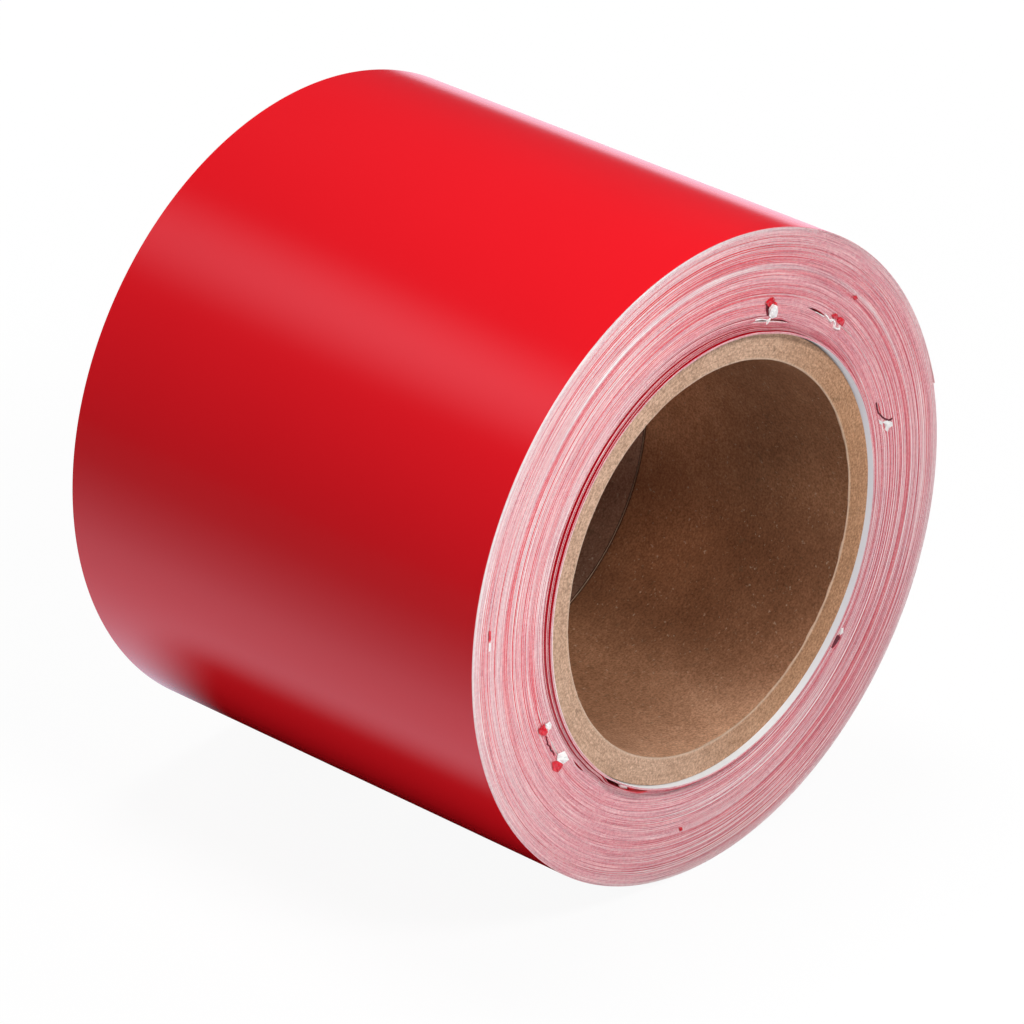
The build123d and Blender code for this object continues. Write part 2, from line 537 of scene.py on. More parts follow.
def cut_end_colour(nodes, colour, radius, angle, fibre):
    # painted shade: browner and darker on the +X side, where the cut end is in shade
    side = nodes.remap(nodes.cosine(angle, 0.26), span=(-0.2, 0.9))
    colour = nodes.tint(side, colour, multiplier=(0.80, 0.66, 0.52))
    # each ply's glue line
    ply = nodes.math("DIVIDE", nodes.subtract(radius, BORE_R * MM), (PLY_IN[1] - PLY_IN[0]) * MM)
    ring = nodes.math("ABSOLUTE", nodes.subtract(nodes.math("FRACT", ply), 0.5))
    glue = nodes.multiply(nodes.remap(ring, span=(0.38, 0.50), to=(0.0, 0.42)), fibre)
    colour = nodes.tint(glue, colour, multiplier=(0.42, 0.36, 0.30))
    # pale torn fibres round the mouth
    mouth = nodes.remap(radius, span=((BORE_R + 0.55) * MM, (BORE_R + 0.10) * MM), to=(0.0, 0.55))
    return nodes.mix(mouth, colour, (0.66, 0.50, 0.38))


def core_wall_colour(nodes, colour, angle, y):
    # painted light: paler towards the mouth, most along the bottom, where light falls into the bore
    depth = nodes.subtract(HALF * MM, nodes.math("ABSOLUTE", y))
    low = nodes.remap(nodes.cosine(angle, math.radians(103.0)), span=(-0.25, 0.95))
    near = nodes.math("EXPONENT", nodes.multiply(depth, -1 / 0.012))
    mouth_light = nodes.multiply(low, nodes.multiply_add(near, factor=1.10, addend=0.04))
    colour = nodes.tint(mouth_light, colour, multiplier=(2.3, 2.8, 3.4))
    # painted shade: darker low on the +X side
    side = nodes.remap(nodes.cosine(angle, math.radians(40.0)), span=(0.80, 1.00))
    side = nodes.multiply(side, nodes.remap(depth, span=(0.050, 0.095), to=(1.0, 0.3)))
    colour = nodes.tint(side, colour, multiplier=(0.57, 0.49, 0.44))
    # and painted light: paler deep inside on the +X side
    deep = nodes.remap(nodes.cosine(angle, math.radians(5.0)), span=(0.60, 0.98))
    deep = nodes.multiply(deep, nodes.remap(depth, span=(0.018, 0.046)))
    colour = nodes.tint(deep, colour, multiplier=(1.9, 1.9, 1.9))
    # the two lengths of core butt together here
    joint = nodes.remap(nodes.math("ABSOLUTE", y), span=(0.00055, 0.00015), to=(0.0, 0.80))
    return nodes.mix(joint, colour, (0.02, 0.010, 0.006))


def kraft_material(name, stops, end=False):
    """Coreboard: brown recycled kraft with fibre mottling, dark specks and pale fibres."""
    mat, nodes, surface = new_material(name)
    place = nodes.coords()
    radius, angle, y = nodes.polar(place)
    if end:
        grain = nodes.combine(nodes.multiply(radius, 2000.0), nodes.multiply(angle, 13.0), 0.0)
    else:
        grain = nodes.combine(nodes.multiply(angle, 26.0), nodes.multiply(y, 1500.0),
                              nodes.multiply(radius, 200.0))
    fibre = nodes.noise(grain, scale=1.0, detail=4.0, rough=0.7, distort=0.3)
    mottle = nodes.noise(place, scale=160.0, detail=6.0, rough=0.62)
    cloud = nodes.noise(place, scale=28.0, detail=3.0)
    # fibre, mottle and cloud add up to 1; the cut end shows more fibre
    share = 0.52 if end else 0.34
    mottled = nodes.multiply_add(mottle, 0.76 - share, nodes.multiply(cloud, 0.24))
    blend = nodes.multiply_add(fibre, share, mottled)
    colour = nodes.ramp(blend, stops)
    fine = nodes.noise(place, scale=2300.0, detail=2.0, rough=0.6)
    flecks = nodes.ramp(fine, [(0.30, (0.66, 0.64, 0.61)), (0.70, (1.26, 1.28, 1.30))])
    colour = nodes.mix(1.0, colour, flecks, "MULTIPLY")
    if end:
        colour = cut_end_colour(nodes, colour, radius, angle, fibre)
    else:
        colour = core_wall_colour(nodes, colour, angle, y)
    dark = nodes.noise(place, scale=620.0, detail=2.0, rough=0.5)
    spots = nodes.multiply(nodes.mask(dark, low=0.66, high=0.74), 0.38)
    colour = nodes.mix(spots, colour, (0.10, 0.060, 0.032))
    pale = nodes.noise(nodes.scaled(grain, (2.2, 0.9, 1.0)), scale=1.0, detail=2.0, rough=0.5)
    hairs = nodes.multiply(nodes.mask(pale, low=0.66, high=0.76), 0.30)
    nodes.fill(surface, {
        "Base Color": nodes.mix(hairs, colour, (0.66, 0.52, 0.37)),
        "Roughness": 0.92, "Specular IOR Level": 0.25,
        "Normal": nodes.bump(blend, strength=0.55, distance=0.00016)})
    return mat


MAT_VINYL = vinyl_material()
MAT_BACK = film_back_material()
MAT_FILM_EDGE = edge_material("vinyl_slit_edge", [
    (0.36, (0.34, 0.006, 0.026)), (0.50, (0.63, 0.055, 0.098)), (0.64, (0.85, 0.290, 0.320)),
], rough=0.45, grain_scale=1500.0)
MAT_LINER = liner_material()
MAT_LINER_EDGE = edge_material("liner_slit_edge", [
    (0.36, (0.60, 0.34, 0.39)), (0.50, (0.84, 0.67, 0.69)), (0.62, (0.95, 0.93, 0.90)),
], rough=0.75, grain_scale=1300.0)
MAT_BORE = kraft_material("coreboard_face", [
    (0.30, (0.182, 0.077, 0.036)), (0.50, (0.250, 0.111, 0.055)), (0.70, (0.330, 0.158, 0.083))])
MAT_BORE_BACK = kraft_material("coreboard_face_grey", [
    (0.30, (0.175, 0.091, 0.062)), (0.50, (0.240, 0.131, 0.089)), (0.70, (0.315, 0.182, 0.129))])
MAT_END = kraft_material("coreboard_cut_end", [
    (0.28, (0.40, 0.245, 0.160)), (0.50, (0.55, 0.355, 0.250)), (0.72, (0.69, 0.475, 0.350)),
], end=True)

# layer: (materials of the outer face, inner face and edges; colour slot)
LAYERS = {
    "film": ((MAT_VINYL, MAT_BACK, MAT_FILM_EDGE), "vinyl_film"),
    "liner": ((MAT_LINER, MAT_LINER, MAT_LINER_EDGE), "release_liner"),
}


# ------------------------------------------------------------------ strips of film and liner
def strip_faces(count):
    """Faces and material slots of a four-sided strip of count sections.

    A section's corners are inner-front, outer-front, outer-back, inner-back.
    """
    a0 = np.arange(count - 1)[:, None] * 4
    b0, c0, d0, a1, b1, c1, d1 = (a0 + k for k in range(1, 8))
    outer = np.hstack([b0, b1, c1, c0])
    inner = np.hstack([a0, d0, d1, a1])
    front = np.hstack([a0, a1, b1, b0])
    back = np.hstack([d0, c0, c1, d1])
    last = (count - 1) * 4
    caps = np.array([[0, 1, 2, 3], [last + 3, last + 2, last + 1, last]])
    slots = np.repeat([0, 1, 2], [count - 1, count - 1, 2 * (count - 1) + 2])
    return np.concatenate([outer, inner, front, back, caps]), slots


def strip_corners(layer, path):
    """(n, 4, 3) corner points of the film or liner at path angles."""
    theta = np.radians(path)
    film_out = film_radius(path)
    if layer == "film":
        r_out, r_in = film_out, film_out - FILM_THICK
    else:
        r_out = film_out - FILM_THICK - GAP
        r_in = r_out - LINER_THICK
    middle = (r_out + r_in) / 2
    front, back = front_out(path, middle), back_out(path, middle)
    if layer == "film":
        front = front - film_recess(middle, path % 360.0)
        back = back + film_recess(middle, (path + 77.0) % 360.0)
    y_front, y_back = -HALF - front, HALF - back
    shift = edge_shift(middle, path % 360.0)
    corners = ((r_in + shift, y_front), (r_out + shift, y_front), (r_out, y_back), (r_in, y_back))
    co = np.empty((len(path), 4, 3))
    for k, (radius, y) in enumerate(corners):
        co[:, k, 0], co[:, k, 1], co[:, k, 2] = radius * np.cos(theta), y, radius * np.sin(theta)
    return co


def strip_object(name, layer, path):
    faces, slots = strip_faces(len(path))
    co = strip_corners(layer, path).reshape(-1, 3)
    return new_object(name, co, [faces], LAYERS[layer][0], slots, flat=slots == 2), slots


def winding_path():
    """Path angles of the wound part: coarse inside, finer near the snags and in the last turns."""
    parts = []
    turns = (CORE_END - SPLIT) / 360.0
    for k in range(int(math.ceil(turns))):
        start = CORE_END - 360.0 * k
        end = max(CORE_END - 360.0 * (k + 1), SPLIT)
        parts += [np.arange(start, end, -(0.75 if k >= turns - 2.2 else 2.4)), [end]]
        radius = TAIL_R - PITCH * ((start + end) / 2 - TAIL_START) / 360.0
        for snag_angle, snag_r in SNAGS:
            if abs(radius - snag_r) < 2.3:
                offsets = np.arange(-11.0, 11.01, 0.5)
                extra = start - (start - (snag_angle + offsets)) % 360.0
                parts.append(extra[(extra < start) & (extra > end)])
    path = np.unique(np.round(np.concatenate(parts), 5))[::-1]
    keep = np.concatenate([[True], -np.diff(path) > 0.05])
    keep[-1] = True
    path = path[keep]
    path[-1] = SPLIT
    return path


WINDING = winding_path()
for layer in LAYERS:
    wraps, _ = strip_object(f"{layer}_wraps", layer, WINDING)
    on_roll(wraps, LAYERS[layer][1], f"{layer}_winding")


# ------------------------------------------------------------------ outermost wrap and free tail
def set_spiral_normals(mesh, path, slots):
    """Exact normals, so that neighbouring lengths of web meet without a visible joint."""
    vertex = np.empty(len(mesh.loops), np.int32)
    mesh.loops.foreach_get("vertex_index", vertex)
    theta = np.radians(path[vertex // 4])
    slot = np.repeat(slots, 4)
    facing = theta - PITCH / (2 * math.pi) / TAIL_R
    normals = np.zeros((len(vertex), 3))
    normals[:, 0], normals[:, 2] = np.cos(facing), np.sin(facing)
    normals[slot == 1] *= -1
    corner = vertex % 4
    edge = slot == 2
    normals[edge] = 0
    normals[edge & (corner < 2), 1] = -1
    normals[edge & (corner >= 2), 1] = 1
    # the last eight loops are the two end caps
    normals[-8:-4] = (-math.sin(theta[-8]), 0, math.cos(theta[-8]))
    normals[-4:] = (math.sin(theta[-1]), 0, -math.cos(theta[-1]))
    mesh.normals_split_custom_set(normals.astype(np.float32))


def tail_piece(name, cad_node, span):
    """A closed length of web over a span of path angles."""
    layer = name.split("_")[0]
    start, end = span
    count = max(int(math.ceil((start - end) / 0.5)), 2) + 1
    path = np.linspace(start, end, count)
    ob, slots = strip_object(name, layer, path)
    set_spiral_normals(ob.data, path, slots)
    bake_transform(ob)
    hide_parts(cad_node)


# the tail is cut 3 degrees past half way between its hinges
CUTS = [(HINGES[k] + HINGES[k + 1]) / 2 - 3.0 for k in range(3)]
for layer in LAYERS:
    tail_piece(f"{layer}_outer_wrap", f"{layer}_tail_1", (SPLIT, CUTS[0]))
    tail_piece(f"{layer}_tail_a", f"{layer}_tail_2", (CUTS[0], CUTS[1]))
    tail_piece(f"{layer}_tail_b", f"{layer}_tail_3", (CUTS[1], CUTS[2]))
for name, cad_node, end in (("liner_tail_end", "liner_tail_4", TIP),
                            ("film_tail_c", "film_tail_4", PEELS[0])):
    tail_piece(name, cad_node, (CUTS[2], end))
for name, cad_node, start, end, bodies in (
    ("film_peel_a", "film_peel_1", PEELS[0], PEELS[1], ("tail_4", "peel_1")),
    ("film_peel_b", "film_peel_2", PEELS[1], PEELS[2], ("peel_1", "peel_2")),
    ("film_peel_tip", "film_tip", PEELS[2], TIP, ("peel_2", "peel_tip")),
):
    tail_piece(name, cad_node, (start, end))


# ------------------------------------------------------------------ core plies, one mesh each
def ply_profile(section, i, angles):
    """(radius, y) of the seven corners of a front ply's section, from the butt end of its bore."""
    seed = 100 + i + (50 if section == "back" else 0)

    def ripple(cells, ripple_seed):
        return noise_line(angles, 360 / cells, ripple_seed, cells)

    r_in, r_out = PLY_IN[i - 1], PLY_OUT[i - 1]
    rough = 0.006 * ripple(90, seed) + 0.010 * ripple(24, seed + 1)
    wave = 0.02 * ripple(5, 8 if section == "back" else 7)
    offset = np.random.default_rng(seed).uniform(-0.006, 0.006)
    face = -HALF + offset + wave + rough + 0.05
    lip, depth = 0.0, 0.05
    if i == 1:
        # the bore's lip is torn
        tear = np.clip(ripple(60, seed + 2), 0, 1) ** 1.5
        small = np.clip(ripple(180, seed + 3), 0, 1)
        lip = 0.05 + 0.13 * tear + 0.08 * small
        depth = 0.07 + 0.10 * tear + 0.05 * small
    return [
        (r_in, -BUTT),
        (r_in, face + depth * 2.2),
        (r_in + lip * 0.35, face + depth * 0.75),
        (r_in + lip, face + 0.010 * np.abs(ripple(120, seed + 4))),
        ((r_in + r_out) / 2 + 0.04 * ripple(40, seed + 5), face + 0.010 * ripple(70, seed + 6)),
        (r_out, face + 0.008 * ripple(100, seed + 8)),
        (r_out, -BUTT),
    ]


def core_ply(section, i):
    """A glued ring of coreboard with a roughly cut end."""
    count = 540
    angles = np.linspace(0, 360, count, endpoint=False)
    theta = np.radians(angles)
    profile = ply_profile(section, i, angles)
    corners = len(profile)
    co = np.empty((count, corners, 3))
    for k, (radius, y) in enumerate(profile):
        co[:, k, 0], co[:, k, 1], co[:, k, 2] = radius * np.cos(theta), y, radius * np.sin(theta)
    if section == "back":
        co[..., 1] *= -1
    here = np.arange(count * corners).reshape(count, corners)
    after = np.roll(here, -1, axis=0)
    quads = []
    for k in range(corners):
        k2 = (k + 1) % corners
        quad = np.stack([here[:, k], here[:, k2], after[:, k2], after[:, k]], 1)
        quads.append(quad[:, ::-1] if section == "front" else quad)
    # the bore and the outer wall are board face, the rest is cut end
    slots = np.repeat([0 if k in (0, 5) else 1 for k in range(corners)], count)
    wall = MAT_BORE if section == "front" else MAT_BORE_BACK
    ob = new_object(f"core_{section}_ring_{i}", co.reshape(-1, 3), quads, (wall, MAT_END), slots)
    # the outer corner is a clean cut; the bore's lip is worn round on the first ply only
    ends = np.empty(len(ob.data.edges) * 2, np.int32)
    ob.data.edges.foreach_get("vertices", ends)
    corner = ends.reshape(-1, 2) % corners
    sharp_corners = (0, 5, 6) if i == 1 else (0, 3, 5, 6)
    sharp = (corner[:, 0] == corner[:, 1]) & np.isin(corner[:, 0], sharp_corners)
    attribute = ob.data.attributes.new("sharp_edge", "BOOLEAN", "EDGE")
    attribute.data.foreach_set("value", sharp)
    on_roll(ob, "coreboard", f"core_{section}_ply_{i}")


for section in ("front", "back"):
    for i in range(1, 7):
        core_ply(section, i)


# ------------------------------------------------------------------ loose fibres on the core
def tube(points, radii):
    """Vertices, side faces and caps of a thin three-sided fibre through points."""
    points = np.asarray(points, float)
    count, sides = len(points), 3
    along = np.gradient(points, axis=0)
    along /= np.linalg.norm(along, axis=1)[:, None]
    across = np.cross(along, np.array([0.31, 0.77, 0.55]))
    across /= np.linalg.norm(across, axis=1)[:, None]
    third = np.cross(along, across)
    lines = []
    for k in range(sides):
        turn = 2 * math.pi * k / sides
        spoke = across * math.cos(turn) + third * math.sin(turn)
        lines.append(points + spoke * np.asarray(radii)[:, None])
    idx = np.arange(count * sides).reshape(count, sides)
    quads = []
    for k in range(sides):
        k2 = (k + 1) % sides
        quads.append(np.stack([idx[:-1, k], idx[:-1, k2], idx[1:, k2], idx[1:, k]], 1))
    caps = np.array([idx[0, ::-1], idx[-1]])
    return np.stack(lines, 1).reshape(-1, 3), np.concatenate(quads), caps


def core_fibres(name, count, y_sign, seed):
    """Loose paper fibres along the cut inner edge; y_sign 1 is the front end, -1 the back."""
    random = np.random.default_rng(seed)
    parts, quads, tris, base = [], [], [], 0
    for _ in range(count):
        start = math.radians(random.uniform(0, 360))
        lean = random.uniform(-0.7, 0.7)
        length = random.uniform(0.25, 0.95)
        inward = random.uniform(0.15, 0.8)
        out = random.uniform(0.0, 0.45)
        root_r = BORE_R + random.uniform(0.0, 0.5)
        points = []
        for s in np.linspace(0, 1, 4):
            radius = root_r - inward * length * s
            theta = start + lean * length * (s + 0.4 * s * s) / root_r
            y = -HALF + 0.06 - out * length * math.sin(s * 1.9) * 0.6 + 0.10 * s * s
            points.append((radius * math.cos(theta), y * y_sign, radius * math.sin(theta)))
        thick = random.uniform(0.012, 0.026)
        co, sides, caps = tube(points, [thick, thick * 0.9, thick * 0.7, thick * 0.3])
        parts.append(co)
        quads.append(sides + base)
        tris.append(caps + base)
        base += len(co)
    ob = new_object(name, np.concatenate(parts), quads + tris, (MAT_END,))
    on_roll(ob, "coreboard")


core_fibres("core_front_fibres", count=210, y_sign=1, seed=5)
core_fibres("core_back_fibres", count=150, y_sign=-1, seed=6)


# ------------------------------------------------------------------ snags: folds of film and liner
# pushed out of the front edge
def snag_material(name, low, high, rough):
    mat, nodes, surface = new_material(name)
    grain = nodes.noise(nodes.coords(), scale=1400.0, detail=3.0)
    nodes.fill(surface, {
        "Base Color": nodes.ramp(grain, [(0.3, low), (0.7, high)]),
        "Roughness": rough,
        "Normal": nodes.bump(grain, strength=0.3, distance=0.00004)})
    return mat


SNAG_MATS = {
    "red": snag_material("film_fold_red", (0.50, 0.006, 0.016), (0.78, 0.016, 0.030), rough=0.35),
    "white": snag_material("liner_fold_white", (0.88, 0.88, 0.87), (0.95, 0.95, 0.94), rough=0.55),
    # painted shade: the dark scraps are near-black sheets laid where shadows fall beside the folds
    # and in the tears
    "dark": snag_material("film_fold_painted_shade", (0.060, 0.001, 0.005), (0.17, 0.004, 0.014),
                          rough=0.60),
}


def add_snag(name, co, faces, colour):
    ob = new_object(name, co, [faces], (SNAG_MATS[colour],), flat=True)
    on_roll(ob, "slit_edge_slivers", "edge_slivers")


def ribbon(name, line, colour, seed, thick, top, zig=0.0, count=15):
    """A standing strip of torn edge along a line, folded to and fro by zig."""
    random = np.random.default_rng(seed)
    line = np.array(line, float)
    stations = np.linspace(0, len(line) - 1, count)
    theta = np.radians(np.interp(stations, np.arange(len(line)), line[:, 0]))
    radius = np.interp(stations, np.arange(len(line)), line[:, 1])
    k = np.arange(count)
    radius = radius + zig * np.where(k % 2 == 0, 1, -1) * random.uniform(0.7, 1.2, count)
    centre = np.stack([radius * np.cos(theta), np.zeros(count), radius * np.sin(theta)], 1)
    along = np.gradient(centre, axis=0)
    along /= np.linalg.norm(along, axis=1)[:, None]
    side = np.cross(along, [0, 1.0, 0]) * thick / 2
    taper = np.clip(np.minimum(k, k[::-1]) / 1.5 + 0.35, 0, 1)[:, None]
    y_axis = np.array([[0, 1.0, 0]])
    crest = y_axis * (-HALF - top * taper * random.uniform(0.75, 1.1, (count, 1)))
    root = y_axis * np.full((count, 1), -HALF + 0.1)
    # the strip is moved towards -X and +Z by its height
    centre = centre + top * np.array([-0.53, 0.0, 0.38])
    co = np.stack([centre + side * 0.6 + crest, centre - side * 0.6 + crest,
                   centre - side + root, centre + side + root], 1).reshape(-1, 3)
    i = np.arange(count - 1)[:, None] * 4
    quads = [np.hstack([i + c, i + (c + 1) % 4, i + 4 + (c + 1) % 4, i + 4 + c]) for c in range(4)]
    last = (count - 1) * 4
    caps = np.array([[3, 2, 1, 0], [last, last + 1, last + 2, last + 3]])
    faces = np.concatenate(quads + [caps])
    corner, second, third = co[faces[0, :3]]
    if np.cross(second - corner, third - corner)[1] > 0:
        faces = faces[:, ::-1]
    add_snag(name, co, faces, colour)


def crumple(name, outline, colour, seed, height, lift=0.0, ruffle=0.55):
    """A torn, folded scrap: a faceted tent over an outline, rooted inside the edges."""
    random = np.random.default_rng(seed)
    theta = np.radians([point[0] for point in outline])
    radius = np.array([point[1] for point in outline])
    n = len(outline)
    ring = np.stack([radius * np.cos(theta), np.zeros(n), radius * np.sin(theta)], 1)
    middle = ring.mean(0)
    span = ring - middle
    i = np.arange(n)
    j = (i + 1) % n
    # an inner ring of ridge points, alternately high and low, round a peak
    inner = middle + span * random.uniform(0.42, 0.66, (n, 1))
    ring_height = lift + height * random.uniform(0.10, 0.10 + ruffle, n)
    inner_height = lift + height * np.where(i % 2 == 0, 1.0, 0.45) * random.uniform(0.8, 1.05, n)

    def raised(points, heights):
        """Out of the edge by heights, leaning towards -X and +Z."""
        heights = np.atleast_1d(heights)
        moved = points + heights[:, None] * np.array([-1.06, 0.0, 0.75])
        moved[:, 1] = -HALF - heights
        return moved

    root = middle + span * 0.80
    root[:, 1] = -HALF + 0.12
    co = np.concatenate([raised(ring, ring_height), raised(inner, inner_height),
                         raised(middle[None], lift + height * 0.8), root])
    peak, base = 2 * n, 2 * n + 1
    tris = np.concatenate([np.stack(corners, 1) for corners in (
        (i, j, n + j), (i, n + j, n + i),
        (n + i, n + j, np.full(n, peak)),
        (base + i, base + j, j), (base + i, j, i),
        (np.full(n - 2, base), base + i[2:], base + i[1:-1]),
    )])
    if np.cross(co[n + j] - co[n + i], co[peak] - co[n + i])[:, 1].sum() > 0:
        tris = tris[:, ::-1]
    add_snag(name, co, tris, colour)


# (shape, name, colour, seed, sizes, outline or line as (angle, radius))
FOLDS = [
    # painted shadow: a near-black scrap laid where the white fold casts its shadow
    (crumple, "fold_a_dark", "dark", 22, dict(height=0.16), [
        (73.4, 48.38), (72.3, 48.25), (71.8, 47.25), (71.4, 46.35), (72.3, 46.37), (73.1, 47.52)]),
    (crumple, "fold_a_red", "red", 2, dict(height=0.55), [
        (73.1, 49.5), (72.4, 49.85), (71.5, 49.88), (70.7, 49.36), (70.9, 49.08), (69.8, 48.8),
        (69.5, 48.24), (71.1, 48.61), (72.2, 48.06), (72.9, 48.36), (73.8, 48.96)]),
    (crumple, "fold_a_white", "white", 1, dict(height=0.85, ruffle=0.30), [
        (71.3, 48.71), (69.5, 48.33), (68.7, 47.27), (68.7, 46.18), (70.2, 45.83), (71.5, 46.3),
        (72.2, 47.59)]),
    (ribbon, "fold_a_stem", "white", 23, dict(thick=0.34, top=0.4, count=6), [
        (70.5, 45.97), (71.5, 45.5), (71.5, 44.65)]),
    (ribbon, "fold_a_branch", "white", 24, dict(thick=0.26, top=0.3, count=6), [
        (71.5, 45.5), (74.1, 45.86), (76.0, 45.7)]),
    (ribbon, "fold_b_white", "white", 3, dict(thick=0.34, top=0.4), [
        (51.7, 49.2), (49.4, 48.54), (48.8, 49.24), (47.4, 48.73), (47.1, 48.03), (45.3, 48.43),
        (45.5, 49.19)]),
    (ribbon, "fold_b_edge", "white", 25, dict(thick=0.20, top=0.30, count=5), [
        (55.5, 48.75), (52.0, 48.70)]),
    (crumple, "fold_b_red_1", "red", 6, dict(height=0.45), [
        (50.0, 49.72), (49.0, 50.45), (47.8, 50.49), (47.4, 49.79), (49.0, 49.35)]),
    (crumple, "fold_b_red_2", "red", 7, dict(height=0.4), [
        (47.8, 49.88), (46.8, 50.57), (44.9, 50.5), (44.5, 49.4), (45.7, 49.23), (47.3, 49.31)]),
    (crumple, "fold_b_chip", "red", 27, dict(height=0.25), [
        (46.5, 54.85), (45.6, 55.49), (44.6, 55.29), (45.2, 54.59)]),
    (crumple, "fold_c_white", "white", 8, dict(height=0.4), [
        (12.9, 48.35), (12.4, 49.56), (11.0, 50.94), (10.1, 50.82), (10.2, 49.83), (9.5, 49.32),
        (10.7, 48.6), (11.2, 49.11)]),
    (crumple, "fold_c_white_2", "white", 28, dict(height=0.3), [
        (14.5, 47.34), (13.1, 48.24), (12.2, 48.24), (13.0, 47.5)]),
    # painted shade: a near-black strip laid in the tear, where shade falls
    (ribbon, "fold_c_tear", "dark", 29, dict(thick=0.42, top=0.14, count=12), [
        (18.9, 47.79), (16.1, 47.65), (13.5, 48.81), (12.0, 50.08), (11.8, 51.2)]),
    (crumple, "fold_d_red", "red", 10, dict(height=0.5), [
        (199.8, 48.84), (200.1, 48.02), (199.9, 47.29), (201.1, 47.09), (202.5, 46.98),
        (203.0, 47.6), (202.4, 48.38), (201.1, 49.04)]),
    (crumple, "fold_d_white", "white", 9, dict(height=0.6), [
        (200.3, 46.98), (200.7, 45.84), (202.0, 45.76), (202.6, 46.18), (202.5, 46.98),
        (201.4, 47.34)]),
    # painted shade: a near-black strip laid in the tear, where shade falls
    (ribbon, "fold_d_tear", "dark", 30, dict(thick=0.36, top=0.1, zig=0.10, count=9), [
        (203.1, 47.77), (205.4, 48.05), (209.7, 47.85)]),
    (crumple, "fold_e_red", "red", 12, dict(height=0.45), [
        (210.3, 49.04), (211.6, 47.86), (213.9, 47.48), (214.2, 48.12), (214.1, 49.19),
        (212.3, 49.78)]),
    (crumple, "fold_e_white", "white", 11, dict(height=0.65), [
        (210.2, 47.18), (211.5, 45.66), (213.2, 45.78), (214.6, 45.96), (213.9, 47.35),
        (211.3, 48.03)]),
    (crumple, "fold_f_white", "white", 13, dict(height=0.3, lift=0.30), [
        (236.0, 44.18), (239.6, 43.79), (239.9, 44.44), (237.2, 44.68)]),
    (crumple, "fold_f_red", "red", 14, dict(height=0.25, lift=0.25), [
        (240.0, 44.04), (242.9, 43.9), (242.9, 44.48), (240.9, 44.73)]),
    # painted shade: a near-black scrap laid in the crack
    (crumple, "fold_g_dark", "dark", 15, dict(height=0.1, lift=0.02), [
        (320.4, 46.11), (320.6, 47.04), (320.2, 47.47), (318.8, 47.28), (317.3, 46.75),
        (317.2, 46.27), (318.8, 46.1)]),
    (crumple, "fold_g_white", "white", 16, dict(height=0.3), [
        (322.3, 46.44), (322.6, 47.06), (321.6, 47.63), (320.8, 47.21), (320.9, 46.66)]),
    (crumple, "fold_h_red", "red", 17, dict(height=0.25), [
        (261.3, 53.16), (262.3, 53.3), (262.7, 54.01), (261.8, 54.09)]),
    (crumple, "fold_i_red", "red", 18, dict(height=0.2), [
        (172.0, 59.39), (172.1, 58.74), (173.9, 58.45), (174.1, 59.01)]),
    (crumple, "fold_i_white", "white", 19, dict(height=0.16), [
        (174.3, 59.05), (174.4, 58.53), (175.9, 58.46), (176.0, 58.91)]),
]
for shape, name, colour, seed, sizes, outline in FOLDS:
    shape(name, outline, colour, seed, **sizes)


# ------------------------------------------------------------------ start tape
def tape_material():
    mat, nodes, surface = new_material("start_tape_kraft")
    grain = nodes.noise(nodes.coords(), scale=500.0)
    nodes.fill(surface, {
        "Base Color": nodes.ramp(grain, [(0.3, (0.58, 0.45, 0.29)), (0.7, (0.68, 0.55, 0.38))]),
        "Roughness": 0.7})
    return mat


# the hidden tape keeps its CAD shape
tape = frame["nodes"]["core_start_tape"]
tape.data.materials.clear()
tape.data.materials.append(tape_material())

# ------------------------------------------------------------------ floor (metres from here on)
FLOOR_Z = min(cad_lo.z * TO_MM, -float(film_radius(270.0))) * MM - 0.00003
BOUNCE = 0.80                   # strength of the soft light the floor throws back


def light_pool(nodes, glossy):
    """Strength of the floor's glow on the roll, a painted pool of light which fades towards -X, with
    a painted shadow under the roll.
    """
    place = nodes.add("NewGeometry").outputs["Position"]
    x, y, _ = nodes.add("SeparateXYZ", {0: place}).outputs
    distance = nodes.hypot(x, y)
    # the painted reflection that gloss sees
    near = nodes.remap(x, span=(-0.09, 0.02), to=(0.85, 1.10))
    left = nodes.math("MAXIMUM", nodes.subtract(nodes.multiply(x, -1.0), 0.11), 0.0)
    fall = nodes.math("EXPONENT", nodes.multiply(left, -1 / 0.085))
    sharp = nodes.multiply(near, nodes.math("MAXIMUM", fall, 0.10))
    sharp = nodes.multiply(sharp, nodes.remap(distance, span=(0.6, 1.5), to=(1.0, 0.07)))
    # painted contact shadow: the glow drops away under the roll
    under = nodes.multiply(
        nodes.remap(nodes.math("ABSOLUTE", x), span=(0.058, 0.078), to=(1.0, 0.0)),
        nodes.remap(nodes.math("ABSOLUTE", y), span=(0.048, 0.075), to=(1.0, 0.0)))
    sharp = nodes.multiply(sharp, nodes.subtract(1.0, under))
    # the painted glow that matt surfaces receive
    soft = nodes.multiply(
        nodes.remap(x, span=(-0.10, 0.10), to=(BOUNCE, BOUNCE * 0.25)),
        nodes.remap(distance, span=(0.5, 1.5), to=(1.0, 0.07)))
    soft = nodes.multiply(soft, nodes.subtract(1.0, under))
    return nodes.multiply_add(glossy, nodes.subtract(sharp, soft), soft)


